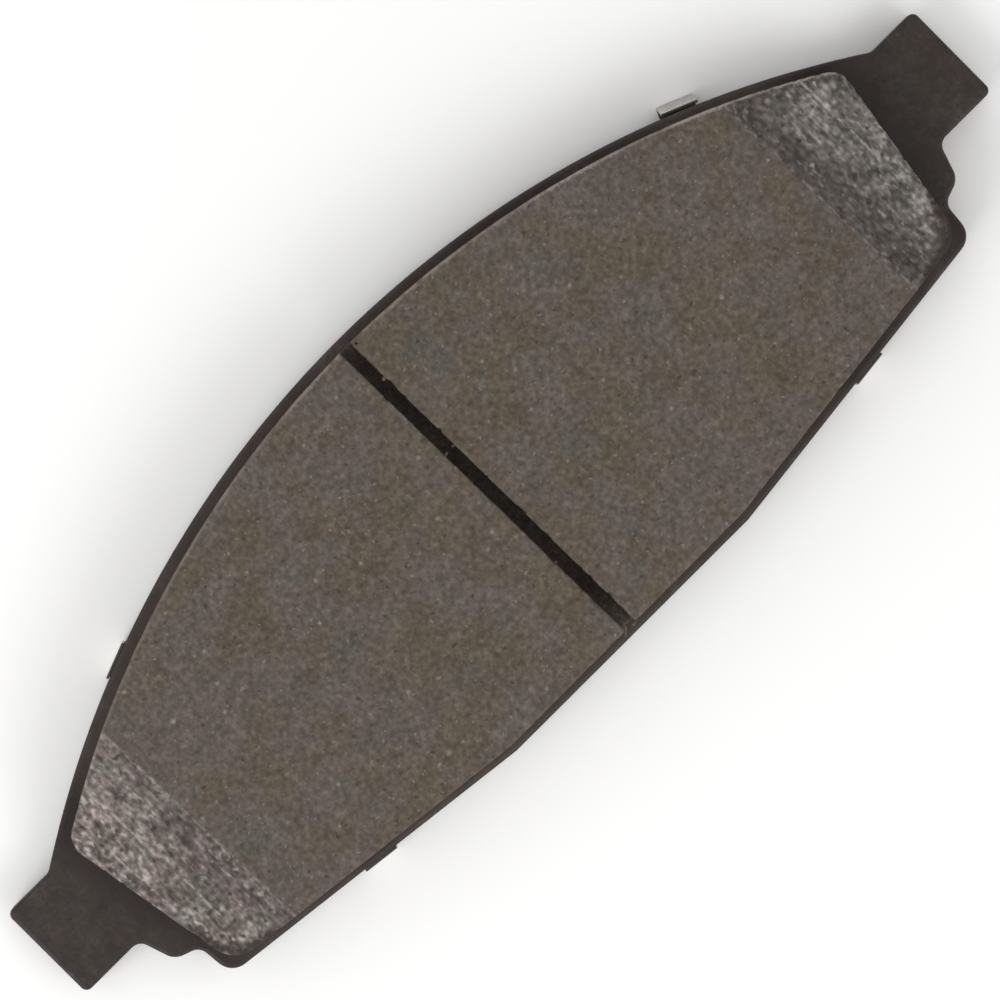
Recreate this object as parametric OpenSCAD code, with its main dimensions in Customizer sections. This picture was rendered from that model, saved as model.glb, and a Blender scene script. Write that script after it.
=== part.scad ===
// Disc brake pad: ribless steel backing plate with two ears, two-block friction
// lining with a slot and end chamfers, and a laminated noise shim with clip tabs.
// The friction face looks up (+Z), the ears point along X and the crown along +Y.

/* [Backing plate] */
// Length over the two ears
plate_length = 172; // [168:0.5:178]
// Height from the lower edge to the crown
plate_height = 56.15; // [54:0.05:58]
// Thickness of the steel
plate_thickness = 5.5; // [4:0.1:7]
// Radius of the crown, the curved upper edge
crown_radius = 143; // [138:1:150]
// Height of each ear
ear_height = 15.1; // [12:0.1:16]
// Height of the ears' lower faces above the lower edge
ear_level = 17.8; // [17:0.1:19]
// Length of the level stretch of the lower edge
level_length = 44; // [30:1:60]
// Rise of the lower edge beyond the level stretch, in degrees
lower_rise = 6.8; // [5:0.1:8]
// Diameter of the holes that the underlayer's plugs fill
plug_diameter = 10; // [6:0.5:12]

/* [Friction lining] */
// Thickness of the friction blocks above the underlayer
block_thickness = 8; // [4:0.1:10]
// Thickness of the underlayer on the plate
underlayer_thickness = 1.9; // [1:0.1:3]
// Thickness of the bonding film
bond_thickness = 0.1; // [0.05:0.05:0.3]
// Radius of the lining's upper edge
lining_radius = 139.5; // [132:0.5:141]
// Bare plate left above the lining, at the middle
upper_margin = 1.5; // [1:0.1:3]
// Bare plate left below the lining
lower_margin = 1.8; // [1.5:0.1:3]
// Lining's half-length where its ends meet the middle height
half_lining = 71.9; // [68:0.1:72]
// Slant of the lining's ends, in degrees
end_slant = 9.5; // [6:0.1:12]
// Turn of the lining on the plate, in degrees
lining_turn = 0.25; // [-0.5:0.05:0.5]
// Width of the slot
slot_width = 1.9; // [1:0.1:4]
// Lean of the slot from square, in degrees
slot_lean = 0.9; // [-2:0.1:2]
// How far the slot's centre sits off the lining's middle, towards +X
slot_offset = 0.3; // [-1:0.1:1]
// Distance from the middle to the start of each chamfer
chamfer_start = 58.2; // [50:0.1:62]
// Angle of each chamfer to the friction face
chamfer_angle = 14; // [5:0.5:18]
// Lean of the chamfers from square, in degrees
chamfer_lean = 1.4; // [-2:0.1:2]

/* [Noise shim] */
// Thickness of each steel shim
steel_gauge = 0.4; // [0.3:0.05:0.6]
// Thickness of each rubber layer
rubber_gauge = 0.1; // [0.05:0.05:0.2]
// Thickness of the adhesive on the plate
adhesive_gauge = 0.1; // [0.05:0.05:0.2]
// Margin of the shims inside the plate's edge
shim_margin = 1.6; // [1.2:0.1:3]
// Width of each clip tab
tab_width = 5.3; // [4:0.1:8]
// Height of the tabs' tips above the back face
tab_height = 5.4; // [3:0.1:6]
// Distance of the upper tabs from the shim's middle
upper_tab = 53; // [45:0.5:58]
// Distance of the lower tabs from the shim's middle
lower_tab = 46.6; // [35:0.1:55]
// How far the shim sits off the plate's middle, towards +X
shim_shift = 1.4; // [0:0.1:1.5]

/* [Hidden] */
$fa = 1;
$fs = 0.2;

// Levels, counted up from the cover shim's outer face
cover_top = steel_gauge;
cover_rubber_top = cover_top + rubber_gauge;
inner_shim_top = cover_rubber_top + steel_gauge;
inner_rubber_top = inner_shim_top + rubber_gauge;
plate_back = inner_rubber_top + adhesive_gauge;
plate_front = plate_back + plate_thickness;
bond_top = plate_front + bond_thickness;
underlayer_top = bond_top + underlayer_thickness;
friction_face = underlayer_top + block_thickness;

// Plate outline. Y counts from the middle of the plate's height.
half_length = plate_length / 2;
lower_edge = -plate_height / 2;
upper_edge = plate_height / 2;
crown_centre = upper_edge - crown_radius;
ear_low = lower_edge + ear_level;
ear_top = ear_low + ear_height;
ear_corner_r = 1;
ear_root_r = 2;
level_end = [level_length / 2, lower_edge];
heel_x = 70.4;
heel = [heel_x, lower_edge + (heel_x - level_end.x) * tan(lower_rise)];
heel_r = 2.8;
neck = [70.9, lower_edge + 11.4];
neck_r = 1.8;
lobe = [74.4, lower_edge + 12.6];
lobe_r = 2.65;
armpit = [76.1, ear_low];
armpit_r = 1.7;

// Lining outline
lining_shoulder_r = 3;
lining_heel_r = 4.2;

// Underlayer plugs and the holes they fill, in two pairs
plug_places = [[22, -1], [50, -3]];
plug_recess = 0.5;

// Shim outline
shim_end = heel_x - shim_margin;
shim_corner_r = 4;
inner_shim_inset = 1;

// Clip tabs: side of the plate, distance along it, lean towards it, gap at the tip
bend_r = 0.5;
sprung_lean = 15;
sprung_gap = 0.2;
seated_lean = 1;
seated_gap = 0.05;
tab_root = 4;

// How far cutters and joined shapes run past each other
lap = 0.5;
// Straight steps that make up each small rounding
arc_steps = 8;

function unit(from, to) = (to - from) / norm(to - from);
function flip(p) = [-p.x, p.y];
function reversed(run) = [for (i = [len(run) - 1:-1:0]) run[i]];
// A right-hand run of points, from the bottom up, closed by its mirror image
function both_sides(right) = concat(right, [for (p = reversed(right)) flip(p)]);
// Height of the plate's lower edge at a distance x from the middle
function lower_edge_at(x) = lower_edge + max(0, abs(x) - level_end.x) * tan(lower_rise);
// Height of the crown at x
function crown_at(x) = crown_centre + sqrt(crown_radius ^ 2 - x ^ 2);

// Points along the arc about a centre, from one point to another
function arc(centre, from, to) =
    let (a = from - centre, b = to - centre, angle = acos(a * b / (norm(a) * norm(b))))
    [for (t = [0:1 / arc_steps:1]) centre + (a * sin((1 - t) * angle) + b * sin(t * angle)) / sin(angle)];

// Points that round the corner between two straight edges
function rounded(before, corner, after, r) =
    let (
        u = unit(corner, before),
        v = unit(corner, after),
        half_angle = acos(u * v) / 2,
        reach = r / tan(half_angle),
        centre = corner + unit([0, 0], u + v) * r / sin(half_angle)
    )
    arc(centre, corner + reach * u, corner + reach * v);

// A run whose last step is doubled, so that it crosses the curve which it only touched
function carried_on(run) =
    let (n = len(run) - 1)
    concat([for (i = [0:n - 1]) run[i]], [2 * run[n] - run[n - 1]]);

module both_ends() {
    children();
    mirror([1, 0, 0]) children();
}

module slab(bottom, top) {
    translate([0, 0, bottom]) linear_extrude(top - bottom) children();
}

// The plate below the ears' upper faces
module plate_base() {
    ear_tip_low = [half_length, ear_low];
    ear_tip_top = [half_length, ear_top];
    polygon(both_sides([
        level_end,
        each rounded(level_end, heel, neck, heel_r),
        each rounded(heel, neck, lobe, neck_r),
        each rounded(neck, lobe, armpit, lobe_r),
        each rounded(lobe, armpit, ear_tip_low, armpit_r),
        each rounded(armpit, ear_tip_low, ear_tip_top, ear_corner_r),
        each rounded(ear_tip_low, ear_tip_top, [0, ear_top], ear_corner_r)
    ]));
}

// The plate above the ears' upper faces, lapping over the base
module plate_crown() {
    intersection() {
        translate([0, crown_centre]) circle(crown_radius);
        translate([-half_length, ear_top - lap]) square([plate_length, plate_height]);
    }
}

// The inner corner where the crown runs down to the top of an ear
module ear_root() {
    centre_y = ear_top + ear_root_r;
    centre_x = sqrt((crown_radius + ear_root_r) ^ 2 - (centre_y - crown_centre) ^ 2);
    centre = [centre_x, centre_y];
    on_crown = centre + ear_root_r * unit(centre, [0, crown_centre]);
    run = arc(centre, [centre_x, ear_top], on_crown);
    polygon(concat(
        carried_on(reversed(carried_on(run))),
        [[centre_x - ear_root_r, ear_top - lap]]
    ));
}

// A flat layer under the crown: an arc above, two rising edges below and slanted ends.
// top is its height at the middle, half its half-length at Y = 0.
module layer_outline(top, radius, margin, half, slant, shoulder_r, heel_r) {
    middle = [0, top - radius];
    level = [level_end.x - margin * tan(lower_rise / 2), lower_edge + margin];
    heel_y = (level.y + (half - level.x) * tan(lower_rise)) / (1 - tan(slant) * tan(lower_rise));
    corner = [half + heel_y * tan(slant), heel_y];
    // Centre of the shoulder's rounding, shoulder_r inside both the end and the arc
    a = half - shoulder_r / cos(slant);
    b = a * tan(slant) - middle.y;
    c = a ^ 2 + middle.y ^ 2 - (radius - shoulder_r) ^ 2;
    centre_y = (-b + sqrt(b ^ 2 - c / cos(slant) ^ 2)) * cos(slant) ^ 2;
    centre = [a + centre_y * tan(slant), centre_y];
    on_end = centre + shoulder_r * [cos(slant), -sin(slant)];
    on_arc = centre + shoulder_r * unit(middle, centre);
    intersection() {
        translate(middle) circle(radius);
        polygon(both_sides([
            level,
            each rounded(level, corner, on_end, heel_r),
            each carried_on(arc(centre, on_end, on_arc)),
            [on_arc.x - shoulder_r, top + lap]
        ]));
    }
}

module lining_outline() {
    rotate(lining_turn)
        layer_outline(
            upper_edge - upper_margin, lining_radius, lower_margin,
            half_lining, end_slant, lining_shoulder_r, lining_heel_r
        );
}

module shim_outline(inset = 0) {
    margin = shim_margin + inset;
    translate([shim_shift, 0])
        layer_outline(
            upper_edge - margin, crown_radius - margin, margin,
            shim_end - inset, 0, shim_corner_r, shim_corner_r
        );
}

module at_plugs() {
    for (place = plug_places) {
        translate(place) children();
        translate(flip(place)) children();
    }
}

module backing_plate() {
    color("#2a2523")
        difference() {
            union() {
                slab(plate_back, plate_front) plate_base();
                slab(plate_back, plate_front) plate_crown();
                both_ends() slab(plate_back, plate_front) ear_root();
            }
            slab(plate_back - lap, plate_front + lap) at_plugs() circle(d = plug_diameter);
        }
}

module bonding_adhesive() {
    color("#7a4a2a") slab(plate_front, bond_top)
        difference() {
            lining_outline();
            at_plugs() circle(d = plug_diameter);
        }
}

module underlayer() {
    color("#3a342f") {
        slab(bond_top, underlayer_top) lining_outline();
        slab(plate_back + plug_recess, bond_top) at_plugs() circle(d = plug_diameter);
    }
}

// The part of the lining on one side of the slot: side is -1 for left, 1 for right
module friction_block(side) {
    lean = tan(slot_lean);
    edge = slot_offset + side * slot_width / 2;
    far = side * plate_length;
    slope = tan(chamfer_angle);
    run = plate_length / 2 - chamfer_start;
    difference() {
        slab(underlayer_top, friction_face)
            intersection() {
                lining_outline();
                polygon([
                    [edge + plate_height * lean, -plate_height], [far, -plate_height],
                    [far, plate_height], [edge - plate_height * lean, plate_height]
                ]);
            }
        // End chamfer: everything above a plane that falls towards the end
        rotate([90, 0, chamfer_lean])
            linear_extrude(2 * plate_height, center = true)
                polygon([
                    [side * (chamfer_start - 1), friction_face + slope],
                    [side * (chamfer_start + run), friction_face - run * slope],
                    [side * (chamfer_start + run), friction_face + slope]
                ]);
    }
}

module friction_block_left() {
    color("#55504a") friction_block(-1);
}

module friction_block_right() {
    color("#55504a") friction_block(1);
}

module shim_adhesive() {
    color("#c8b88a") slab(inner_rubber_top, plate_back) shim_outline(inner_shim_inset);
}

module inner_rubber() {
    color("#202020") slab(inner_shim_top, inner_rubber_top) shim_outline(inner_shim_inset);
}

module inner_shim() {
    color("#8f9296") slab(cover_rubber_top, inner_shim_top) shim_outline(inner_shim_inset);
}

module cover_rubber() {
    color("#202020") slab(cover_top, cover_rubber_top) shim_outline();
}

// One clip tab, bent up along the plate's edge. The plate's edge is at Y = 0, outside is +Y.
// It leans towards the plate until its tip is a gap away from the edge.
module tab(lean, gap) {
    down = [0, -1];
    outward = [cos(lean), sin(lean)];
    upward = [-sin(lean), cos(lean)];
    outer_r = bend_r + steel_gauge;
    bend_z = steel_gauge + bend_r;
    rise = tab_height - bend_z;
    bend_y = gap + (rise * sin(lean) - bend_r) / cos(lean);
    bend = [bend_y, bend_z];
    upright = rise * cos(lean) + (bend_y - gap) * sin(lean);
    rotate([90, 0, 90])
        linear_extrude(tab_width, center = true)
            polygon(concat(
                [[-tab_root, 0]],
                arc(bend, bend + outer_r * down, bend + outer_r * outward),
                [bend + outer_r * outward + upright * upward],
                [bend + bend_r * outward + upright * upward],
                arc(bend, bend + bend_r * outward, bend + bend_r * down),
                [[-tab_root, steel_gauge]]
            ));
}

module upper_tab_at(x, lean, gap) {
    translate([x, crown_at(x), 0]) rotate([0, 0, -asin(x / crown_radius)]) tab(lean, gap);
}

module lower_tab_at(x) {
    turn = 180 + sign(x) * lower_rise;
    translate([x, lower_edge_at(x), 0]) rotate([0, 0, turn]) tab(seated_lean, seated_gap);
}

module cover_shim() {
    color("#b9bab8") {
        slab(0, cover_top) shim_outline();
        upper_tab_at(shim_shift + upper_tab, sprung_lean, sprung_gap);
        upper_tab_at(shim_shift - upper_tab, seated_lean, seated_gap);
        lower_tab_at(shim_shift + lower_tab);
        lower_tab_at(shim_shift - lower_tab);
    }
}

backing_plate();
bonding_adhesive();
underlayer();
friction_block_left();
friction_block_right();
shim_adhesive();
inner_rubber();
inner_shim();
cover_rubber();
cover_shim();
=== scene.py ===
"""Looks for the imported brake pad.

Outlines and levels come from the CAD nodes. The plate, the lining's blocks, the underlayer, the bond
line and the cover shim are rebuilt here as finer meshes with rounded, worn or crumbled edges. The flat
layers between them keep their CAD meshes. Lengths are in millimetres until a mesh is made.
"""

import math

import bmesh
import bpy
import numpy as np
from mathutils import Matrix, Vector, geometry
from mathutils.kdtree import KDTree


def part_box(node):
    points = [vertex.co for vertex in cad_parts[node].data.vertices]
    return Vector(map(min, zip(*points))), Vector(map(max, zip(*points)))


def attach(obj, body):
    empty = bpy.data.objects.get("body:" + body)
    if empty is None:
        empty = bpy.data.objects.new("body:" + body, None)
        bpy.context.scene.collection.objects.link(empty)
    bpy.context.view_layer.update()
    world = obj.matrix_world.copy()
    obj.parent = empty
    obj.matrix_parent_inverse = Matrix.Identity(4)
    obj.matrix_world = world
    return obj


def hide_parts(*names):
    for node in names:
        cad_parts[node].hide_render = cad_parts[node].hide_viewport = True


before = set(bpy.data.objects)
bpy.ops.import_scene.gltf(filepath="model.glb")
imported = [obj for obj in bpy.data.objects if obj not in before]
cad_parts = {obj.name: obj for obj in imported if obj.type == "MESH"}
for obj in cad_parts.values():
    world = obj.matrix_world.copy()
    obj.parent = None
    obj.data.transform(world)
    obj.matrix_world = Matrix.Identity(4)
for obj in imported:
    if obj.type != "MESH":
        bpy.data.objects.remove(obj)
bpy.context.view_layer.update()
MM = 0.001

# Levels and radii closer than this are taken as the same
SAME = 0.01

# Camera: the view over the friction face, from far away through a long lens
VIEW_WIDTH = 134.43
CAMERA_DISTANCE = 700
CAMERA_AIM = (0.25, -2.55)
CAMERA_LEAN_Y = 2.0
CAMERA_ROLL = 44.9
SENSOR = 36.0

# Spacing of the points along outlines, on the lining's face and on its ground ends
OUTLINE_STEP = 0.25
FACE_STEP = 0.30
GROUND_STEP = 0.19

# Crumbs left in the slot by the saw, on the left and the right block:
# x, y, depth of the centre under the face, half-sizes, turn about Z
SLOT_CRUMBS = (
    ((-0.55, 7.1, 0.9, (0.45, 0.22, 0.5), 8), (-0.35, -13.3, 0.5, (0.28, 0.2, 0.3), 0),
     (-0.2, -26.3, 0.35, (0.14, 0.95, 0.16), -44)),
    ((0.75, 20.0, 0.4, (0.35, 0.28, 0.4), 20), (1.05, 7.2, 1.2, (0.4, 0.2, 0.5), -15),
     (1.35, -26.4, 1.0, (0.45, 0.3, 0.7), 10)),
)

# Longer scrapes on the ground ends: x, lowest and highest y
SCRAPES = (67.9, -7, 12), (-69.3, -5, 4), (-65.6, -3, 5), (-65.1, -16, -8), (-61.6, 0, 7)
SCRAPE_WIDTH = 0.24

# Ground ends: how far the grinding shows at the start of the chamfer and past the growth length,
# on the left and the right block. The right's smaller shares also paint shade on its slope,
# which faces away from the key lamp
GROUND_AND_SHADE_SHARES = (0.62, 1.0), (0.26, 0.90)
GROUND_GROWTH = 8.5

# The blocks' sides and round edge from below: inset, depth under the face, share of the chips
BLOCK_PROFILE = (0, 3.0, 0.1), (0, 0.9, 0.5), (0, 0.22, 0.9), (0.066, 0.066, 1), (0.22, 0, 1)

# Points of the blocks' outlines this near the middle lie along the slot. The sawn edges there have
# crumbled so deep on the left and the right block, and the outer ends crumble from this far out
SLOT_REACH = 3.0
SAWN_CRUMBLE = 0.4, 0.9
CRUMBLING_END = 62.0

# Size of the painted shade at each block's lower outer corner
CORNER_SHADE_REACH = 8.0

# Pits in each block's face: their number, smallest and biggest radius, and depth
PITS = 160, 0.3, 0.6, 0.12

# How bright the burr along the crown is, polished and with a painted highlight, at some places along X
BURR_HIGHLIGHT_PLACES = -72, -30, -10, 20, 38, 44, 62, 72
BURR_HIGHLIGHT_SHARES = 0.3, 0.4, 0.6, 0.9, 1, 1, 1, 0.8


# Outlines of the CAD nodes

def node_points(node):
    """The corners of a CAD node's mesh, as rows of x, y, z."""
    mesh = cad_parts[node].data
    points = np.empty(3 * len(mesh.vertices))
    mesh.vertices.foreach_get("co", points)
    return points.reshape(-1, 3) / MM


def level(node, side):
    """The lowest (side 0) or highest (side 1) level of a CAD node."""
    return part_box(node)[side][2] / MM


def length_of(loop):
    """How long the closed way round a loop is."""
    return np.linalg.norm(np.roll(loop, -1, 0) - loop, axis=1).sum()


def area_of(loop):
    """The area inside a loop, which is negative for a clockwise one."""
    x, y = loop.T
    return 0.5 * np.sum(x * np.roll(y, -1) - y * np.roll(x, -1))


def flat_loops(node, z):
    """The closed outlines of a node's flat face at height z, counter-clockwise, the longest first."""
    points = node_points(node)
    keys = [tuple(p) for p in np.round(points[:, :2], 3)]
    following = {}
    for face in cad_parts[node].data.polygons:
        corners = list(face.vertices)
        if np.abs(points[corners, 2] - z).max() > SAME:
            continue
        for a, b in zip(corners, corners[1:] + corners[:1]):
            if keys[a] in following.get(keys[b], []):
                following[keys[b]].remove(keys[a])
            else:
                following.setdefault(keys[a], []).append(keys[b])
    starts = {a: ends for a, ends in following.items() if ends}
    loops = []
    while starts:
        loop, here = [], next(iter(starts))
        while here in starts:
            loop.append(here)
            after = starts[here].pop()
            if not starts[here]:
                del starts[here]
            here = after
        loops.append(np.array(loop))
    loops.sort(key=length_of, reverse=True)
    return [loop if area_of(loop) > 0 else loop[::-1] for loop in loops]


def circle_through(p, q, r):
    """Centre and radius of the circle through three points."""
    rows = 2 * np.array([q - p, r - p])
    centre = np.linalg.solve(rows, np.array([q @ q - p @ p, r @ r - p @ p]))
    return centre, np.linalg.norm(p - centre)


def finely(loop, step=OUTLINE_STEP):
    """The loop cut into short steps. Points between two corners on the crown go out to its circle."""
    high = loop[loop[:, 1] > 0.5 * loop[:, 1].max()]
    by_x = high[np.argsort(high[:, 0])]
    centre, radius = circle_through(by_x[0], by_x[len(by_x) // 2], by_x[-1])
    on_crown = np.abs(np.linalg.norm(loop - centre, axis=1) - radius) < SAME
    out = []
    for i, (a, b) in enumerate(zip(loop, np.roll(loop, -1, 0))):
        count = max(1, math.ceil(np.linalg.norm(b - a) / step))
        for k in range(count):
            point = a + (b - a) * k / count
            if on_crown[i] and on_crown[(i + 1) % len(loop)]:
                point = centre + (point - centre) * radius / np.linalg.norm(point - centre)
            out.append(point)
    return np.array(out)


def outward(loop):
    """Unit vectors that point out of a counter-clockwise loop at its points."""
    along = np.roll(loop, -1, 0) - np.roll(loop, 1, 0)
    normal = np.stack([along[:, 1], -along[:, 0]], 1)
    return normal / np.linalg.norm(normal, axis=1)[:, None]


def distance_along(loop):
    """How far along a loop each of its points lies."""
    steps = np.linalg.norm(np.roll(loop, -1, 0) - loop, axis=1)
    return np.concatenate([[0], np.cumsum(steps)[:-1]])


def chamfer_of(node):
    """A friction block's chamfer: x where it starts at Y = 0, that line's lean and the fall along X."""
    corners = node_points(node)
    low, face = level(node, 0), level(node, 1)
    side = math.copysign(1, corners[:, 0].mean())
    on_face = corners[np.abs(corners[:, 2] - face) < SAME]
    halves = on_face[on_face[:, 1] < 0], on_face[on_face[:, 1] > 0]
    bottom, top = (half[np.argmax(side * half[:, 0])] for half in halves)
    lean = (top[0] - bottom[0]) / (top[1] - bottom[1])
    start = bottom[0] - bottom[1] * lean
    margin = 0.05
    sloped = corners[(corners[:, 2] < face - margin) & (corners[:, 2] > low + margin)]
    past = side * (sloped[:, 0] - start - lean * sloped[:, 1])
    return start, lean, np.mean((face - sloped[:, 2]) / past)


def end_of(node):
    """The straight right-hand end of a flat layer: x where it crosses Y = 0, and its slant."""
    loop = flat_loops(node, level(node, 1))[0]
    steps = np.roll(loop, -1, 0) - loop
    at_end = np.where(loop[:, 0] > 0.9 * loop[:, 0].max(), np.linalg.norm(steps, axis=1), 0)
    i = np.argmax(at_end)
    slant = steps[i, 0] / steps[i, 1]
    return loop[i, 0] - loop[i, 1] * slant, slant


def lower_tabs():
    """How far along X the cover shim's two lower tabs stand."""
    points = node_points("cover_shim")
    bend_height = 1.0
    above_bend = points[:, 2] > level("backing_plate", 0) + bend_height
    uprights = points[above_bend & (points[:, 1] < 0)]
    return [uprights[uprights[:, 0] * side > 0, 0].mean() for side in (-1, 1)]


# Seeded relief

def patches(x, y, cell, seed):
    """Smooth values from -1 to 1 that change over about one cell."""
    table = np.random.default_rng(seed).uniform(-1, 1, (256, 256))
    size = len(table)
    clear_of_axes = 500.5
    u, v = np.asarray(x) / cell + clear_of_axes, np.asarray(y) / cell + clear_of_axes
    i, j = np.floor(u).astype(int), np.floor(v).astype(int)
    s, t = u - i, v - j
    s, t = s * s * (3 - 2 * s), t * t * (3 - 2 * t)
    i, j = i % size, j % size
    k, m = (i + 1) % size, (j + 1) % size
    return (
        table[i, j] * (1 - s) * (1 - t) + table[k, j] * s * (1 - t)
        + table[i, m] * (1 - s) * t + table[k, m] * s * t
    )


def rough(x, y, cell, seed):
    """Three sizes of patches together, from -1 to 1."""
    shares = 1, 1 / 2, 1 / 4
    parts = [share * patches(x, y, share * cell, seed + n) for n, share in enumerate(shares)]
    return sum(parts) / sum(shares)


def gap_to(points, loop):
    """How far points are from the nearest point of a loop."""
    tree = KDTree(len(loop))
    for number, (x, y) in enumerate(loop):
        tree.insert((x, y, 0), number)
    tree.balance()
    return np.array([tree.find((x, y, 0))[2] for x, y in points])


def pits(points, rng, number, smallest, biggest, depth):
    """Depth of the small round hollows scattered over some points."""
    low, high = points.min(0), points.max(0)
    total = np.zeros(len(points))
    for _ in range(number):
        centre = rng.uniform(low, high)
        radius = rng.uniform(smallest, biggest)
        deep = depth * rng.uniform(0.4, 1.0)
        near = np.abs(points - centre).max(1) < radius
        away = np.linalg.norm(points[near] - centre, axis=1) / radius
        total[near] = np.maximum(total[near], deep * np.clip(1 - away**2, 0, 1))
    return total


# Meshes

class Shell:
    """A closed mesh put together from rings of points. Lengths are in millimetres."""

    def __init__(self):
        self.points = np.empty((0, 3))
        self.faces = []
        self.smooth = []

    def add(self, flat, z):
        """Adds points at height z, one number or one for each point, and gives their numbers."""
        start = len(self.points)
        rows = np.column_stack([flat, np.broadcast_to(z, len(flat))])
        self.points = np.concatenate([self.points, rows])
        return range(start, len(self.points))

    def wall(self, below, above, inward=False):
        """Quads between two rings with as many points, facing out of them or inward."""
        count = len(below)
        for i in range(count):
            k = (i + 1) % count
            quad = below[i], below[k], above[k], above[i]
            self.faces.append(quad[::-1] if inward else quad)
        self.smooth += [True] * count

    def walls(self, rings):
        for below, above in zip(rings, rings[1:]):
            self.wall(below, above)

    def cap(self, rings, downward=False, inner=(), smooth=False):
        """Triangles that fill the first ring, less the holes that the others bound."""
        numbers, edges = [], []
        for ring in rings:
            base, count = len(numbers), len(ring)
            edges += [(base + i, base + (i + 1) % count) for i in range(count)]
            numbers += ring
        numbers += inner
        flat = [Vector(p) for p in self.points[numbers, :2]]
        leave_holes, closest = 2, 1e-7
        _, _, faces, sources, _, _ = geometry.delaunay_2d_cdt(flat, edges, [], leave_holes, closest)
        back = [numbers[ids[0]] if ids else None for ids in sources]
        for face in faces:
            corners = tuple(back[i] for i in face)
            if None not in corners and len(set(corners)) == len(corners):
                self.faces.append(corners[::-1] if downward else corners)
                self.smooth.append(smooth)

    def close(self, rings, holes, low, high):
        """Caps the ends of a stack of rings, with straight holes through it from low to high."""
        bottoms, tops = [rings[0]], [rings[-1]]
        for hole in holes:
            bottoms.append(self.add(hole, low))
            tops.append(self.add(hole, high))
            self.wall(bottoms[-1], tops[-1], inward=True)
        self.cap(bottoms, downward=True)
        self.cap(tops)

    def bulge(self, loop, swell, profile):
        """Rings and walls round a loop. Each ring stands out by its share of the swell at a height."""
        normal = outward(loop)
        rings = [self.add(loop + normal * (share * swell)[:, None], z) for share, z in profile]
        self.walls(rings)
        return rings

    def lump(self, centre, radii, turn, seed):
        """Adds a small crumb with three half-sizes, turned about Z, in degrees."""
        ball = bmesh.new()
        bmesh.ops.create_icosphere(ball, subdivisions=2, radius=1.0)
        unit = np.array([vert.co for vert in ball.verts])
        swell = 1 + 0.4 * rough(unit[:, 0] + 3 * unit[:, 2], unit[:, 1], 0.9, seed)
        spin = np.array(Matrix.Rotation(math.radians(turn), 3, "Z"))
        start = len(self.points)
        self.points = np.concatenate([self.points, centre + (unit * swell[:, None] * radii) @ spin.T])
        self.faces += [tuple(start + vert.index for vert in face.verts) for face in ball.faces]
        self.smooth += [True] * len(ball.faces)
        ball.free()

    def make(self, name, material):
        """The finished mesh as an object."""
        mesh = bpy.data.meshes.new(name)
        mesh.from_pydata([tuple(p) for p in self.points * MM], [], self.faces)
        mesh.polygons.foreach_set("use_smooth", self.smooth)
        mesh.update()
        return linked(name, mesh, material)


def linked(name, mesh, material):
    """An object for a mesh, in the scene."""
    piece = bpy.data.objects.new(name, mesh)
    bpy.context.scene.collection.objects.link(piece)
    mesh.materials.clear()
    mesh.materials.append(material)
    return piece


def set_values(piece, name, values):
    """A named value at each of a piece's points, which its material reads."""
    piece.data.attributes.new(name, "FLOAT", "POINT").data.foreach_set("value", values)


# Materials

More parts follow.
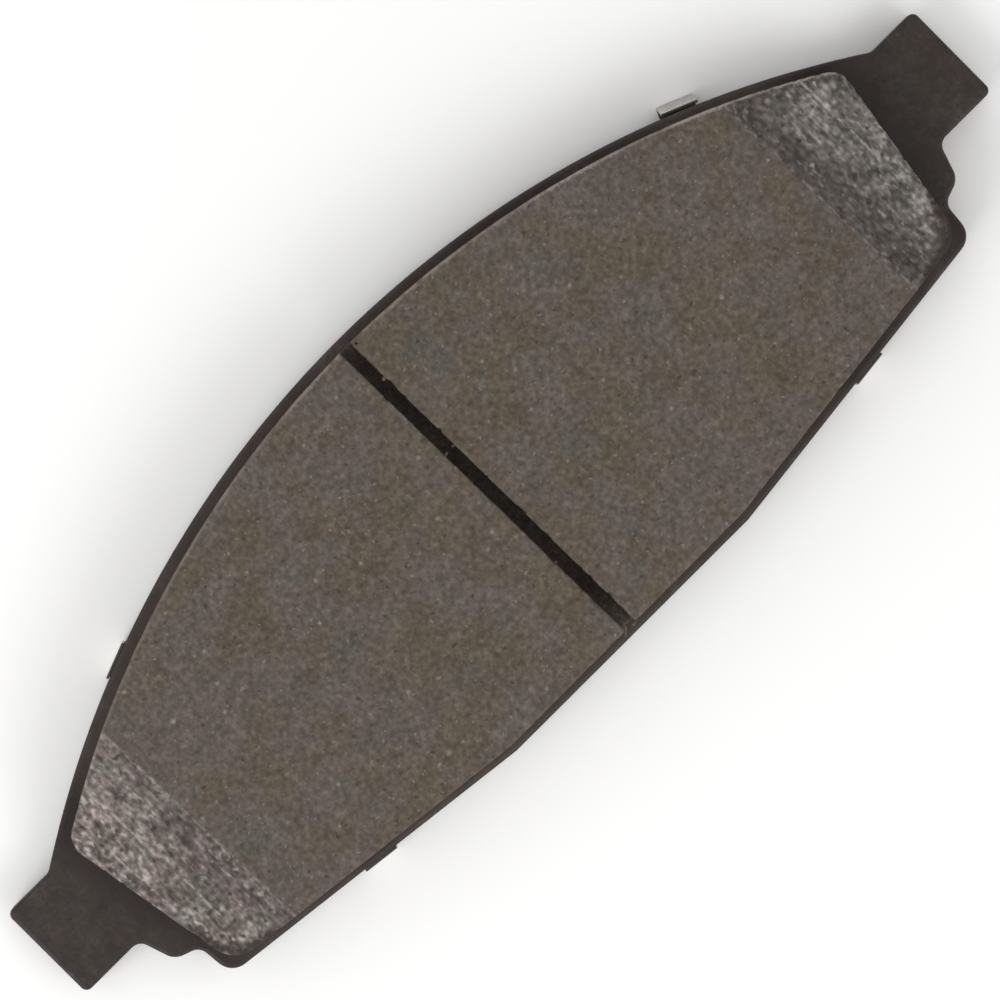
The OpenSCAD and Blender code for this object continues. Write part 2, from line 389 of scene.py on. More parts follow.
class Graph:
    """A short way to write a material's nodes. Lengths given to its textures are in millimetres."""

    def __init__(self, name):
        self.material = bpy.data.materials.new(name)
        self.material.use_nodes = True
        self.tree = self.material.node_tree
        self.tree.nodes.clear()
        self.shader = self.add("ShaderNodeBsdfPrincipled")
        output = self.add("ShaderNodeOutputMaterial")
        self.put(output.inputs["Surface"], self.shader.outputs[0])
        coords = self.add("ShaderNodeTexCoord").outputs
        self.normal = coords["Normal"]
        self.mm = self.vector("SCALE", coords["Object"], scale=1 / MM)

    def add(self, kind, **settings):
        node = self.tree.nodes.new(kind)
        for key, value in settings.items():
            setattr(node, key, value)
        return node

    def put(self, socket, value):
        """Gives a socket a value, or links it to another node's output."""
        if isinstance(value, bpy.types.NodeSocket):
            self.tree.links.new(value, socket)
        elif isinstance(value, tuple) and len(value) == 3 and socket.type == "RGBA":
            socket.default_value = (*value, 1)
        else:
            socket.default_value = value

    def vector(self, operation, a, b=None, scale=None):
        node = self.add("ShaderNodeVectorMath", operation=operation)
        self.put(node.inputs[0], a)
        if b is not None:
            self.put(node.inputs[1], b)
        if scale is not None:
            self.put(node.inputs["Scale"], scale)
        return node.outputs[0]

    def math(self, operation, a, b=0.0):
        node = self.add("ShaderNodeMath", operation=operation)
        self.put(node.inputs[0], a)
        self.put(node.inputs[1], b)
        return node.outputs[0]

    def product(self, first, *others):
        """All the values times each other."""
        for other in others:
            first = self.math("MULTIPLY", first, other)
        return first

    def split(self, vector):
        node = self.add("ShaderNodeSeparateXYZ")
        self.put(node.inputs[0], vector)
        return node.outputs

    def placed(self, stretch, shift):
        """Coordinates in millimetres, stretched along the axes and moved off by a shift."""
        at = self.vector("MULTIPLY", self.mm, tuple(1 / s for s in stretch))
        return self.vector("ADD", at, (shift, shift / 3, -shift / 2))

    def noise(self, cell, detail=2.0, roughness=0.5, stretch=(1, 1, 1), shift=0.0):
        node = self.add("ShaderNodeTexNoise")
        self.put(node.inputs["Vector"], self.placed(stretch, shift))
        self.put(node.inputs["Scale"], 1 / cell)
        self.put(node.inputs["Detail"], detail)
        self.put(node.inputs["Roughness"], roughness)
        return node.outputs["Fac"]

    def ramp(self, value, low, high, to_low=0.0, to_high=1.0):
        """value from low to high, carried to to_low and to_high and held there outside."""
        node = self.add("ShaderNodeMapRange", clamp=True)
        for name, number in (
            ("Value", value), ("From Min", low), ("From Max", high), ("To Min", to_low), ("To Max", to_high)
        ):
            self.put(node.inputs[name], number)
        return node.outputs["Result"]

    def blotches(self, *parts):
        """The sum of each value's distance from a half times its amount."""
        total = 0.0
        for value, amount in parts:
            off = self.math("MULTIPLY", self.math("SUBTRACT", value, 0.5), amount)
            total = self.math("ADD", off, total)
        return total

    def shaded(self, colour, depth, warmth=0.0):
        """A colour times e to the depth. With some warmth, its dark parts turn brown."""
        shade = self.add("ShaderNodeCombineColor")
        for socket, turn in zip(shade.inputs[:3], (-1, 0, 1)):
            self.put(socket, self.math("EXPONENT", self.product(depth, 1 + turn * warmth)))
        return self.mix(1.0, colour, shade.outputs[0], "MULTIPLY")

    def flecks(self, cell, size, share, shift=0.0):
        """Up to 1 inside small ragged spots in that share of the cells. Size is the widest radius,
        in parts of a cell."""
        wobble = self.add("ShaderNodeTexNoise")
        self.put(wobble.inputs["Vector"], self.mm)
        self.put(wobble.inputs["Scale"], 2.2 / (cell * size))
        ragged = self.vector("SUBTRACT", wobble.outputs["Color"], (0.5, 0.5, 0.5))
        ragged = self.vector("SCALE", ragged, scale=1.3 * cell * size)
        at = self.vector("ADD", self.placed((1, 1, 1), shift), ragged)
        spots = self.add("ShaderNodeTexVoronoi")
        self.put(spots.inputs["Vector"], at)
        self.put(spots.inputs["Scale"], 1 / cell)
        choice, reach, faint = self.split(spots.outputs["Color"])
        chosen = self.product(
            self.ramp(choice, share, share + 0.001, 1.0, 0.0), self.ramp(faint, 0.0, 1.0, 0.25, 1.0)
        )
        across = self.math("DIVIDE", spots.outputs["Distance"], self.ramp(reach, 0.0, 1.0, 0.4 * size, size))
        return self.product(self.ramp(across, 0.4, 1.0, 1.0, 0.0), chosen)

    def streak(self, x, y_low, y_high, width):
        """Up to 1 on a thin broken line along Y, between two heights."""
        wander = self.ramp(self.noise(7.0, 1.0, shift=x), 0.3, 0.7, x - 0.2, x + 0.2)
        across, along, _ = self.split(self.mm)
        off_line = self.math("ABSOLUTE", self.math("SUBTRACT", across, wander))
        middle, half = (y_low + y_high) / 2, (y_high - y_low) / 2
        off_middle = self.math("ABSOLUTE", self.math("SUBTRACT", along, middle))
        return self.product(
            self.ramp(off_line, 0.3 * width, width, 1.0, 0.0),
            self.ramp(off_middle, half - 1.0, half, 1.0, 0.0),
            self.ramp(self.noise(0.8, 2.0, 0.8, stretch=(1, 1.6, 1), shift=3 * x), 0.42, 0.56)
        )

    def mix(self, factor, a, b, blend="MIX"):
        node = self.add("ShaderNodeMix", data_type="RGBA", blend_type=blend)
        self.put(node.inputs["Factor"], factor)
        self.put(node.inputs[6], a)
        self.put(node.inputs[7], b)
        return node.outputs[2]

    def attribute(self, name):
        return self.add("ShaderNodeAttribute", attribute_name=name).outputs["Fac"]

    def bump(self, height, depth, strength):
        """Relief on the surface, with its depth in millimetres."""
        node = self.add("ShaderNodeBump")
        self.put(node.inputs["Height"], height)
        self.put(node.inputs["Distance"], depth * MM)
        self.put(node.inputs["Strength"], strength)
        self.put(self.shader.inputs["Normal"], node.outputs[0])

    def finish(self, **inputs):
        """Sets the shader's inputs, their spaces written as underscores, and gives the material."""
        for name, value in inputs.items():
            self.put(self.shader.inputs[name.replace("_", " ")], value)
        return self.material


def moulded_tone(g, grain, dark_spots):
    """The moulded face: brown and mauve clouds under soft grains, dark spots and chalky spots."""
    brown, mauve, drab = (0.0885, 0.0690, 0.0500), (0.0955, 0.0765, 0.0675), (0.0850, 0.0735, 0.0615)
    dark, chalk = (0.036, 0.026, 0.017), (0.215, 0.190, 0.170)
    across, along, _ = g.split(g.mm)
    off_middle = g.ramp(g.math("ABSOLUTE", across), 25.0, 62.0, 0.0, 0.11)
    below = g.ramp(along, -5.0, -28.0, 0.0, 0.05)
    cloud = g.math("ADD", g.noise(7.0, 2.0, 0.5), g.math("ADD", off_middle, below))
    tone = g.mix(g.ramp(cloud, 0.42, 0.62), brown, mauve)
    tone = g.mix(g.ramp(g.noise(5.0, 2.0, 0.5, shift=70.0), 0.58, 0.70), tone, drab)
    broad = g.noise(2.4, 1.0, 0.6, shift=151.0)
    tone = g.shaded(tone, g.blotches((grain, 1.5), (broad, 0.5)), 0.05)
    tone = g.mix(g.product(dark_spots, 0.7), tone, dark)
    chalky = g.ramp(g.noise(0.75, 1.0, 0.5, shift=90.0), 0.68, 0.75)
    return g.mix(g.product(chalky, 0.55), tone, chalk)


def ground_tone(g, ends, crushed):
    """The ground ends: pale, pitted and marked along Y. The right end is ground less and dark near the face,
    with painted shade of its slope turned from the key lamp.
    """
    rosy, sandy = (0.131, 0.1045, 0.0965), (0.120, 0.1055, 0.0940)
    right_end_shade_tone, stony, grey = (0.097, 0.0810, 0.0730), (0.131, 0.1170, 0.1055), (0.110, 0.1030, 0.0920)
    bright, hollow = (0.36, 0.330, 0.304), (0.036, 0.028, 0.023)
    tint = g.noise(3.2, 3.0, 0.6, shift=160.0)
    left = g.mix(g.ramp(tint, 0.44, 0.58), rosy, sandy)
    # Painted shade on the right end's slope, darker where less is ground
    right = g.mix(g.ramp(ends, 0.45, 0.85), right_end_shade_tone, stony)
    right = g.mix(g.ramp(tint, 0.44, 0.58, 0.0, 0.3), right, grey)
    tone = g.mix(g.ramp(g.split(g.mm)[0], -1, 1), left, right)
    columns = g.noise(0.60, 1.0, 0.6, stretch=(1.0, 12.0, 1.0), shift=31.0)
    lumps = g.noise(1.25, 1.0, 0.6, stretch=(1.0, 1.3, 1.0), shift=44.0)
    blots = g.noise(2.6, 1.0, 0.6, shift=157.0)
    wide = g.noise(7.0, 1.0, 0.6, shift=177.0)
    strength = g.ramp(ends, 0.3, 1.0, 0.5, 1.0)
    depth = g.blotches((crushed, 2.9), (columns, 1.5), (lumps, 1.9), (blots, 1.4), (wide, 1.6))
    tone = g.shaded(tone, g.product(depth, strength), 0.03)
    rows = g.ramp(g.noise(0.9, 1.0, 0.5, stretch=(1.0, 30.0, 1.0), shift=205.0), 0.42, 0.60)
    dashes = g.ramp(g.noise(0.62, 0.6, 0.5, stretch=(1.0, 1.5, 1.0), shift=200.0), 0.56, 0.74)
    tone = g.mix(g.product(rows, dashes, strength), tone, bright)
    hollows = g.ramp(g.noise(0.85, 0.5, 0.6, stretch=(1.0, 1.2, 1.0), shift=230.0), 0.36, 0.22)
    tone = g.mix(g.product(hollows, 0.85), tone, hollow)
    # Darker where less is ground; on the right end this is painted shade
    return g.shaded(tone, g.ramp(ends, 0.45, 1.0, -0.32, 0.0))


def scraped(g, tone):
    """Scrapes over a tone: along the line where each chamfer starts, and a few on the ground ends."""
    across, along, _ = g.split(g.mm)
    start, lean, _ = chamfer_of("friction_block_right")
    past_start = 0.3
    from_middle = g.math("ABSOLUTE", g.math("SUBTRACT", across, g.product(along, lean)))
    off_line = g.math("ABSOLUTE", g.math("SUBTRACT", from_middle, start + past_start))
    line = g.product(
        g.ramp(off_line, 0.08, 0.26, 1.0, 0.0), g.ramp(g.noise(1.1, 3.0, 0.7, shift=260.0), 0.44, 0.58)
    )
    tone = g.mix(g.product(line, 0.5), tone, (0.25, 0.222, 0.205))
    for x, y_low, y_high in SCRAPES:
        mark = g.streak(x, y_low, y_high, SCRAPE_WIDTH)
        tone = g.mix(g.product(mark, 0.7), tone, (0.34, 0.315, 0.29))
    return tone


def friction_material():
    """Moulded semi-metallic composite with ground ends, under a few metal and rust flecks.

    Its lower outer corners carry painted shade, and its burr a painted highlight over a polished edge. A
    film of paint lies low on its sides.
    """
    metal, rust, painted_corner_shade = (0.36, 0.335, 0.305), (0.19, 0.055, 0.025), (0.030, 0.0225, 0.0180)
    burr_highlight_tone, paint = (0.30, 0.255, 0.238), (0.024, 0.020, 0.017)
    g = Graph("friction_composite")
    ends = g.attribute("ground")
    grain = g.noise(0.80, 1.0, 0.7, stretch=(1.0, 1.1, 1.0), shift=11.0)
    crushed = g.noise(0.68, 0.6, 0.6, stretch=(1.0, 1.3, 1.0), shift=57.0)
    dark_spots = g.ramp(g.noise(1.0, 1.0, 0.5, shift=3.0), 0.33, 0.25)
    tone = g.mix(g.ramp(ends, 0.0, 0.3), moulded_tone(g, grain, dark_spots), ground_tone(g, ends, crushed))
    tone = scraped(g, tone)
    tone = g.mix(g.product(g.flecks(1.9, 0.23, 0.12, shift=17.0), 0.85), tone, metal)
    tone = g.mix(g.product(g.flecks(6.0, 0.07, 0.25, shift=29.0), 0.6), tone, rust)
    # Painted shade darkens each block's lower outer corner
    patchy = g.ramp(g.noise(1.1, 3.0, 0.7, shift=340.0), 0.35, 0.60, 0.7, 1.0)
    tone = g.mix(g.product(g.attribute("corner_shaded"), patchy), tone, painted_corner_shade)
    # Painted highlight along the polished burr, where the edge values lie
    burr = g.product(g.attribute("edge"), g.ramp(g.noise(1.6, 3.0, 0.7, shift=300.0), 0.30, 0.52))
    tone = g.mix(g.product(burr, 0.85), tone, burr_highlight_tone)

    upright = g.ramp(g.math("ABSOLUTE", g.split(g.normal)[2]), 0.35, 0.15)
    ragged = g.ramp(g.noise(1.6, 4.0, 0.7, shift=320.0), 0.3, 0.7, -2.5, 2.5)
    height = g.math("ADD", g.split(g.mm)[2], ragged)
    low = level("friction_block_right", 0)
    film = g.product(upright, g.ramp(height, low + 2.2, low + 3.4, 1.0, 0.0))
    tone = g.mix(g.product(film, 0.85), tone, paint)
    relief = g.math("SUBTRACT", grain, g.product(dark_spots, 0.4))
    relief = g.math("ADD", relief, g.product(ends, crushed))
    g.bump(relief, 0.12, 0.5)
    return g.finish(Base_Color=tone, Roughness=0.86, Specular_IOR_Level=0.35)


def rim_dust_and_light(g, half):
    """How far the plate's rims are lightened, by pale grinding grit and by painted light, most below the
    lining's left half; beside the lower tabs they stay darker, as painted shade.
    """
    across, along, _ = g.split(g.mm)
    above = g.ramp(g.math("ABSOLUTE", g.math("SUBTRACT", across, 30.0)), 10.0, 25.0, 0.5, 1.0)
    above = g.product(above, g.ramp(across, 42.0, 60.0, 1.0, 1.6))
    beneath = g.ramp(across, -22.0, 42.0, 1.45, 0.70)
    # Painted shade: the lower rim is lightened less beside the lower tabs
    for x in lower_tabs():
        off_tab = g.math("ABSOLUTE", g.math("SUBTRACT", across, x))
        beneath = g.product(beneath, g.ramp(off_tab, 2.5, 5.5, 0.35, 1.0))
    low_side = g.ramp(g.math("SUBTRACT", along, g.product(across, 0.12)), -16.0, -22.0)
    dust_and_light = g.math("ADD", above, g.product(low_side, g.math("SUBTRACT", beneath, above)))
    between_ends = g.ramp(g.math("ABSOLUTE", across), half - 2.0, half - 8.0)
    patchy = g.ramp(g.noise(3.5, 4.0, 0.7, shift=83.0), 0.3, 0.6, 0.7, 1.15)
    facing_up = g.ramp(g.split(g.normal)[2], 0.6, 0.97)
    return g.product(dust_and_light, between_ends, patchy, facing_up)


def paint_material():
    """Thin satin black paint over sheared steel, with painted shade round the lining's ends, and grinding
    grit and painted light along the rims.
    """
    reddish, greyish, end_shade_tone = (0.0270, 0.0165, 0.0125), (0.0235, 0.0170, 0.0130), (0.0165, 0.0088, 0.0072)
    dust_and_light_tone, speck, bare = (0.096, 0.068, 0.054), (0.09, 0.08, 0.07), (0.085, 0.075, 0.066)
    g = Graph("plate_paint")
    across, along, _ = g.split(g.mm)
    mottle = g.noise(5.0, 5.0, 0.65, shift=5.0)
    tone = g.mix(g.ramp(mottle, 0.42, 0.58), reddish, greyish)
    tone = g.shaded(tone, g.blotches((g.noise(1.4, 4.0, 0.75, shift=12.0), 2.6), (mottle, 1.4)))
    half, slant = end_of("underlayer")
    out = g.math("SUBTRACT", g.math("ABSOLUTE", across), g.product(along, slant))
    out = g.math("ADD", out, g.ramp(g.noise(2.4, 4.0, 0.6, shift=61.0), 0.3, 0.7, -1.2, 1.2))
    # Painted shade: film darkens the plate round the lining's ends, at the foot of its walls
    film = g.ramp(out, half + 1.8, half + 4.6, 1.0, 0.0)
    tone = g.mix(g.product(film, 0.8), tone, end_shade_tone)
    # Grinding grit and painted light lighten the rims
    tone = g.mix(g.product(rim_dust_and_light(g, half), 0.35), tone, dust_and_light_tone)
    tone = g.mix(g.product(g.flecks(1.4, 0.12, 0.12, shift=9.0), 0.3), tone, speck)
    worn = g.product(g.attribute("worn"), g.ramp(g.noise(0.7, 3.0, 0.7, shift=33.0), 0.42, 0.58))
    tone = g.mix(worn, tone, bare)
    g.bump(g.noise(0.9, 3.0, 0.5, shift=21.0), 0.06, 0.6)
    gloss = g.ramp(g.noise(1.6, 4.0, 0.65, shift=40.0), 0.35, 0.65, 0.46, 0.62)
    return g.finish(Base_Color=tone, Roughness=gloss, Specular_IOR_Level=0.36)


def underlayer_material():
    """The denser layer moulded under the friction material, flecked with short fibres."""
    g = Graph("underlayer_composite")
    grain = g.noise(0.8, 4.0, 0.75, shift=13.0)
    tone = g.shaded((0.075, 0.058, 0.046), g.blotches((grain, 3.0), (g.noise(5.0, shift=19.0), 1.5)))
    fibres = g.flecks(1.2, 0.25, 0.2, shift=23.0)
    tone = g.mix(g.product(fibres, 0.5), tone, (0.15, 0.105, 0.065))
    g.bump(grain, 0.10, 0.7)
    return g.finish(Base_Color=tone, Roughness=0.9)


def bond_material():
    """Cured resin squeezed out along the bond line."""
    g = Graph("bond_resin")
    cloud = g.noise(1.5, 3.0, 0.6)
    tone = g.mix(g.ramp(cloud, 0.35, 0.65), (0.040, 0.019, 0.009), (0.085, 0.042, 0.019))
    g.bump(cloud, 0.04, 0.5)
    return g.finish(Base_Color=tone, Roughness=g.ramp(g.noise(0.8, shift=7.0), 0.35, 0.65, 0.40, 0.60))


def steel_grain(g):
    """Fine lines along X that rolling leaves in sheet."""
    return g.noise(0.22, 3.0, 0.6, stretch=(24.0, 1.0, 1.0), shift=2.0)


def inner_steel_material():
    """Cold-rolled sheet under a thin film of oil."""
    g = Graph("inner_shim_steel")
    rolled = steel_grain(g)
    cloud = g.noise(14.0, 3.0, 0.55, shift=8.0)
    tone = g.shaded((0.42, 0.43, 0.44), g.blotches((rolled, 0.8), (cloud, 0.9)))
    g.bump(rolled, 0.006, 0.5)
    return g.finish(Base_Color=tone, Metallic=0.9, Roughness=0.42)


def cover_steel_material():
    """Stainless sheet, bare, scratched and smudged outside, and dark on its inner side and its cut tips."""
    g = Graph("cover_shim_steel")
    rolled = steel_grain(g)
    cloud = g.noise(14.0, 4.0, 0.6, shift=8.0)
    tone = g.shaded((0.56, 0.53, 0.495), g.blotches((rolled, 0.9), (cloud, 1.0)))
    smudge = g.ramp(g.noise(9.0, 5.0, 0.65, shift=51.0), 0.50, 0.66)
    tone = g.mix(g.product(smudge, 0.35), tone, (0.25, 0.225, 0.20))
    scratch = g.noise(0.5, 2.0, 0.5, stretch=(40.0, 0.7, 1.0), shift=71.0)
    tone = g.mix(g.ramp(scratch, 0.68, 0.74, 0.0, 0.5), tone, (0.66, 0.64, 0.61))
    dark_inside_and_tips = g.attribute("dark_inside_and_tips")
    tone = g.mix(dark_inside_and_tips, tone, (0.056, 0.045, 0.038))
    metal = g.ramp(dark_inside_and_tips, 0.0, 1.0, 0.9, 0.0)
    bare_roughness = g.ramp(cloud, 0.35, 0.65, 0.36, 0.52)
    roughness = g.math("ADD", bare_roughness, g.product(dark_inside_and_tips, 0.2))
    g.bump(rolled, 0.006, 0.5)
    return g.finish(Base_Color=tone, Metallic=metal, Roughness=roughness)


def rubber_material():
    """The black rubber film on a shim."""
    g = Graph("shim_rubber")
    grain = g.noise(0.3, 2.0)
    tone = g.mix(g.ramp(g.noise(2.0, 3.0), 0.35, 0.65), (0.012, 0.011, 0.010), (0.022, 0.020, 0.018))
    g.bump(grain, 0.02, 0.4)
    return g.finish(Base_Color=tone, Roughness=0.8)


def glue_material():
    """The amber film of adhesive between the inner shim and the plate."""
    g = Graph("shim_glue")
    tone = g.mix(g.ramp(g.noise(1.2, 3.0), 0.35, 0.65), (0.30, 0.24, 0.14), (0.44, 0.37, 0.24))
    return g.finish(Base_Color=tone, Roughness=0.55)


def floor_material():
    """Matt near-white board."""
    g = Graph("pale_floor")
    tone = g.mix(g.noise(60.0, 2.0), (0.93, 0.93, 0.925), (0.945, 0.945, 0.94))
    return g.finish(Base_Color=tone, Roughness=0.9, Specular_IOR_Level=0.2)


# Pieces

def backing_plate():
    """The stamped plate: a rolled edge in front, and a sheared wall that tears towards its back."""
    node = "backing_plate"
    back, front = level(node, 0), level(node, 1)
    outer, *holes = flat_loops(node, front)
    loop = finely(outer)
    normal = outward(loop)
    along = distance_along(loop)
    tear = 1.9 + 0.5 * rough(along, 0, 9.0, 61)
    torn = 0.05 + 0.05 * rough(along, 0, 0.8, 65)
    roll = 0.55
    levels = [(0.16 + torn, back), (0.04 + torn, back + 0.12), (torn, back + 0.5 * tear), (0.0, back + tear)]
    levels.append((0.0, front - roll))
    for turn in (22.5, 45, 67.5, 90):
        a = math.radians(turn)
        levels.append((roll * (1 - math.cos(a)), front - roll + roll * math.sin(a)))
    shell = Shell()
    rings = [shell.add(loop - normal * np.reshape(inset, (-1, 1)), z) for inset, z in levels]
    shell.walls(rings)
    shell.close(rings, holes, back, front)
    piece = shell.make("backing_plate_stamped", paint_material())
    x, y, z = shell.points.T
    wear = np.clip(rough(x, y, 6.0, 71) - 0.05, 0, 1) * np.clip((z - front + roll) / roll, 0, 1)
    in_holes = slice(rings[-1].stop, None)
    wear[in_holes] = 0
    set_values(piece, "worn", wear)
    return piece


def rows_inside(loop, step):
    """Grid points inside a loop."""
    a, b = loop, np.roll(loop, -1, 0)
    rows = []
    for y in np.arange(loop[:, 1].min() + step / 2, loop[:, 1].max(), step):
        crossing = (a[:, 1] <= y) != (b[:, 1] <= y)
        p, q = a[crossing], b[crossing]
        xs = np.sort(p[:, 0] + (q[:, 0] - p[:, 0]) * (y - p[:, 1]) / (q[:, 1] - p[:, 1]))
        for low, high in zip(xs[::2], xs[1::2]):
            row = np.arange(math.ceil(low / step) * step, high, step)
            rows.append(np.stack([row, np.full(len(row), y)], 1))
    return np.concatenate(rows)


class FrictionBlock:
    """One half of the lining: a ground face and chamfer, a crumbled edge, and moulded and sawn sides."""

    def __init__(self, node, seed):
        self.name = node + "_moulded"
        self.seed = seed
        self.low, self.face = level(node, 0), level(node, 1)
        self.start, self.lean, self.slope = chamfer_of(node)
        self.side = math.copysign(1, self.start)
        self.is_right = self.side > 0
        self.loop = finely(flat_loops(node, self.low)[0])
        self.normal = outward(self.loop)
        self.in_slot = np.abs(self.loop[:, 0]) < SLOT_REACH

    def past(self, points):
        """How far points lie beyond the line where the chamfer starts."""
        return self.side * (points[:, 0] - self.start - self.lean * points[:, 1])

    def height(self, points):
        """The height of the ground face and chamfer at points, just under the CAD faces."""
        under_cad = 0.02
        return self.face - under_cad - np.maximum(0, self.past(points)) * self.slope

    def ground(self, points):
        """How far the ground end shows: more on the left than on the right, where the smaller share also
        paints shade, and more towards the tip.
        """
        out = self.past(points)
        ragged = 0.25 * rough(0, points[:, 1], 1.5, self.seed + 30)
        inner_share, outer_share = GROUND_AND_SHADE_SHARES[self.is_right]
        growth = inner_share + (outer_share - inner_share) * np.clip(out / GROUND_GROWTH, 0, 1)
        return np.clip((out + ragged) / 0.35, 0, 1) * growth

    def rough_edge(self, cell, more):
        """Roughness along the outline."""
        return rough(distance_along(self.loop), 0, cell, self.seed + more)

    def chips(self):
        """How far the edge has crumbled, most along the slot and at the outer end."""
        at_end = np.clip(np.abs(self.loop[:, 0]) - CRUMBLING_END, 0, 1)
        crumble = np.where(self.in_slot, SAWN_CRUMBLE[self.is_right], 0.06 + 0.30 * at_end)
        everywhere = 0.25 * np.clip(self.rough_edge(1.1, 0) - 0.25, 0, 1)
        return everywhere + crumble * np.clip(self.rough_edge(0.9, 5) - 0.1, 0, 1)

    def scattered(self, edge, rng):
        """Points over the face inside its edge, closer together on the ground end."""
        found = []
        zones = (FACE_STEP, -np.inf, -0.4), (GROUND_STEP, -0.3, np.inf)
        for step, nearest, farthest in zones:
            grid = rows_inside(edge - self.normal * 0.6 * step, step)
            grid += rng.uniform(-0.2, 0.2, grid.shape) * step
            out = self.past(grid)
            found.append(grid[(out >= nearest) & (out < farthest)])
        return np.concatenate(found)

    def relief(self, points, rng):
        """The height of points on the face, with its grain, its ground rows and its pits."""
        z = self.height(points) - 0.01 * (1 + rough(*points.T, 0.8, self.seed + 9))
        rows = rough(points[:, 0], points[:, 1] / 9, 0.7, self.seed + 12)
        z -= self.ground(points) * 0.03 * (1 + rows)
        return z - pits(points, rng, *PITS)

    def painted_corner_shade(self, points, edge):
        """How much painted shade points get: most along the edge at the lower outer corner."""
        heel = self.loop[np.argmax(self.side * self.loop[:, 0] - self.loop[:, 1])]
        near_heel = np.clip(1 - np.hypot(*(points - heel).T) / CORNER_SHADE_REACH, 0, 1)
        reach = 0.2 + 1.8 * near_heel + 0.2 * rough(*points.T, 1.2, self.seed + 60)
        return np.clip(1.3 - gap_to(points, edge) / reach, 0, 1) * np.clip(4 * near_heel, 0, 1)

    def burr(self):
        """How bright the burr is at each point of the outline: a polished edge under a painted highlight."""
        x = self.loop[:, 0]
        on_crown = (self.normal[:, 1] > 0.5) & ~self.in_slot
        on_heel = (self.normal[:, 1] < -0.5) & ~self.in_slot
        crown = np.interp(x, BURR_HIGHLIGHT_PLACES, BURR_HIGHLIGHT_SHARES)
        heel = np.interp(np.abs(x), (0, 25, 45), (0.10, 0.06, 0))
        slot = np.clip(3 * self.rough_edge(2.0, 40) - 0.9, 0, 0.7)
        shares = on_crown * crown + on_heel * heel + self.in_slot * slot
        return shares * np.clip(0.85 + 1.2 * self.rough_edge(5.0, 20), 0, 1)

    def build(self, material):
        """The block's piece, with the values that its material reads."""
        chips = self.chips()
        shell = Shell()
        rings = [shell.add(self.loop, self.low)]
        for inset, drop, weight in BLOCK_PROFILE:
            ring = self.loop - self.normal * (inset + chips * weight)[:, None]
            rings.append(shell.add(ring, self.height(self.loop) - drop - 0.4 * chips * weight))
        shell.walls(rings)
        edge = shell.points[rings[-1], :2]
        rng = np.random.default_rng(self.seed)
        flat = self.scattered(edge, rng)
        shell.cap([rings[-1]], inner=shell.add(flat, self.relief(flat, rng)), smooth=True)
        shell.cap([rings[0]], downward=True)
        for number, (x, y, drop, radii, turn) in enumerate(SLOT_CRUMBS[self.is_right]):
            shell.lump((x, y, self.face - drop), radii, turn, self.seed + 50 + number)
        piece = shell.make(self.name, material)

        points = shell.points
        near_face = np.clip(1.2 - self.height(points) + points[:, 2], 0, 1)
        set_values(piece, "ground", self.ground(points) * near_face)
        set_values(piece, "corner_shaded", self.painted_corner_shade(points[:, :2], edge))
        # The edge values carry the burr's painted highlight
        burr, on_edge = np.zeros(len(points)), rings[-3:]
        for ring in on_edge:
            burr[ring] = self.burr()
        set_values(piece, "edge", burr)
        return piece


def underlayer():
    """The moulded layer under the blocks, slightly bulged, and the plugs that key it to the plate."""
    node = "underlayer"
    top, plug_end = level(node, 1), level(node, 0)
    bottom = level("bonding_adhesive", 1)
    loop = finely(flat_loops(node, top)[0])
    swell = 0.05 + 0.05 * rough(distance_along(loop), 0, 2.5, 81)
    profile = (-0.5, bottom), (0.7, bottom + 0.3), (1.0, bottom + 1.0), (0.8, top - 0.2), (0.0, top)
    shell = Shell()
    rings = shell.bulge(loop, swell, profile)
    bottoms = [rings[0]]
    for plug in flat_loops("backing_plate", level("backing_plate", 1))[1:]:
        tip = shell.add(plug, plug_end)
        bottoms.append(shell.add(plug, bottom))
        shell.wall(tip, bottoms[-1])
        shell.cap([tip], downward=True)
    shell.cap(bottoms, downward=True)
    shell.cap([rings[-1]])
    return shell.make("underlayer_moulded", underlayer_material())


def bond_line():
    """The film under the lining, with the bead that it squeezes out all round."""
    node = "bonding_adhesive"
    low, top = level(node, 0), level(node, 1)
    outer, *holes = flat_loops(node, top)
    loop = finely(outer)
    bead = 0.16 + 0.14 * rough(distance_along(loop), 0, 3.0, 91)
    profile = (1.0, low), (0.9, low + 0.04), (0.5, top + 0.05), (0.05, top + 0.12), (-0.6, top)
    shell = Shell()
    rings = shell.bulge(loop, bead, profile)
    shell.close(rings, holes, low, top)
    return shell.make("bond_line", bond_material())


def cover_shim():
    """The folded cover shim with its cut edges eased. Its inner side and its cut tips are marked dark."""
    easing, sharp_from, flat_below = 0.08, math.radians(50), math.radians(0.3)
    shape = bmesh.new()
    shape.from_mesh(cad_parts["cover_shim"].data)
    bmesh.ops.remove_doubles(shape, verts=shape.verts, dist=0.001 * MM)
    bmesh.ops.dissolve_limit(shape, angle_limit=flat_below, verts=shape.verts, edges=shape.edges)
    sharp = [e for e in shape.edges if e.is_manifold and e.calc_face_angle() > sharp_from]
    bmesh.ops.bevel(shape, geom=sharp, offset=easing * MM, segments=2, affect="EDGES", profile=0.5)
    shape.normal_update()
    dark_inside_and_tips = []
    for vert in shape.verts:
        widest = max(vert.link_faces, key=lambda face: face.calc_area())
        towards_plate = -widest.normal.y * math.copysign(1, vert.co.y)
        dark_inside_and_tips.append(float(widest.normal.z > 0.5 or towards_plate > 0.3))
    for face in shape.faces:
        face.smooth = True
    bmesh.ops.triangulate(shape, faces=shape.faces)
    mesh = bpy.data.meshes.new("cover_shim_formed")
    shape.to_mesh(mesh)
    shape.free()
    piece = linked("cover_shim_formed", mesh, cover_steel_material())
    set_values(piece, "dark_inside_and_tips", dark_inside_and_tips)
    piece.modifiers.new("flat_faces", "WEIGHTED_NORMAL")
    return piece


# Scene

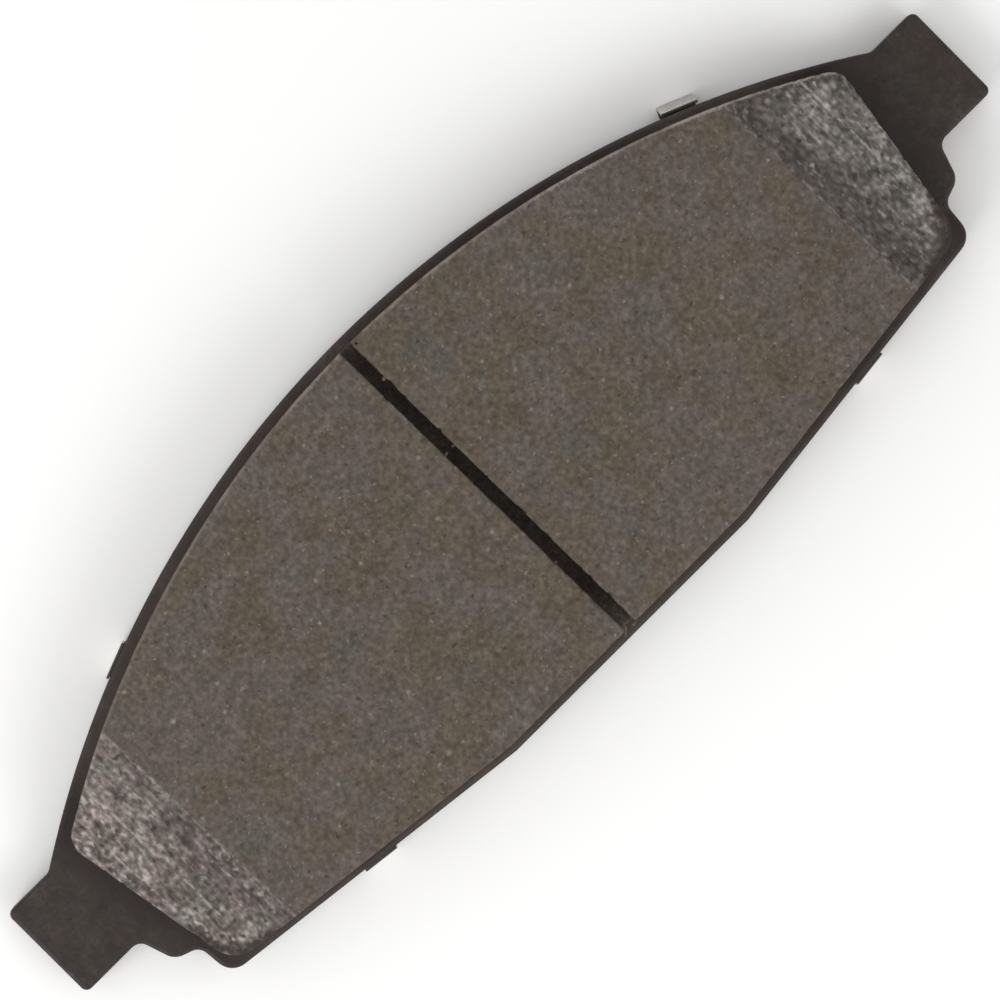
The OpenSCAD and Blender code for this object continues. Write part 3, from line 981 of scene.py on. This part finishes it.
def place_camera():
    """The long lens over the friction face, rolled so that the pad lies across the corners."""
    data = bpy.data.cameras.new("camera")
    data.sensor_width = SENSOR
    data.lens = SENSOR * CAMERA_DISTANCE / VIEW_WIDTH
    data.clip_start, data.clip_end = 0.01, 20
    camera = bpy.data.objects.new("camera", data)
    bpy.context.scene.collection.objects.link(camera)
    aim = Vector((*CAMERA_AIM, level("backing_plate", 1))) * MM
    toward = Vector((0, math.tan(math.radians(CAMERA_LEAN_Y)), 1)).normalized()
    roll = math.radians(CAMERA_ROLL)
    right = Vector((math.sin(roll), math.cos(roll), 0)).cross(toward).normalized()
    up = toward.cross(right)
    turn = Matrix((right, up, toward)).transposed()
    camera.matrix_world = Matrix.Translation(aim + toward * CAMERA_DISTANCE * MM) @ turn.to_4x4()
    bpy.context.scene.camera = camera


def area_light(name, place, size, power):
    """A round lamp at a place, turned to the origin."""
    data = bpy.data.lights.new(name, "AREA")
    data.shape = "DISK"
    data.size = size * MM
    data.energy = power
    light = bpy.data.objects.new(name, data)
    bpy.context.scene.collection.objects.link(light)
    light.location = Vector(place) * MM
    light.rotation_euler = (-light.location).to_track_quat("-Z", "Y").to_euler()


def light_scene():
    """A pale surround with two broad lamps."""
    world = bpy.data.worlds.new("studio")
    world.use_nodes = True
    background = world.node_tree.nodes["Background"]
    background.inputs["Color"].default_value = (1.0, 0.995, 0.985, 1)
    background.inputs["Strength"].default_value = 0.73
    bpy.context.scene.world = world
    area_light("key", (-650, 0, 560), 500, 3.1)
    area_light("fill", (100, -800, 900), 700, 2.8)


def lay_floor():
    """The floor that the pad lies on, which is no part of it."""
    half = 3000
    shell = Shell()
    corners = np.array([(-half, -half), (half, -half), (half, half), (-half, half)])
    shell.cap([shell.add(corners, 0)])
    shell.make("floor", floor_material())


def stand_for(piece, node):
    """Puts a piece in a CAD node's place."""
    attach(piece, "root")
    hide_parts(node)


def dress(node, material):
    """Gives a CAD node that stays its finer material."""
    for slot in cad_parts[node].material_slots:
        slot.material = material


def main():
    bpy.context.scene.view_settings.view_transform = "Standard"
    place_camera()
    light_scene()
    lay_floor()

    stand_for(backing_plate(), "backing_plate")
    stand_for(bond_line(), "bonding_adhesive")
    stand_for(underlayer(), "underlayer")
    friction = friction_material()
    for node, seed in (("friction_block_left", 100), ("friction_block_right", 200)):
        stand_for(FrictionBlock(node, seed).build(friction), node)
    stand_for(cover_shim(), "cover_shim")

    rubber = rubber_material()
    dress("cover_rubber", rubber)
    dress("inner_rubber", rubber)
    dress("inner_shim", inner_steel_material())
    dress("shim_adhesive", glue_material())


main()
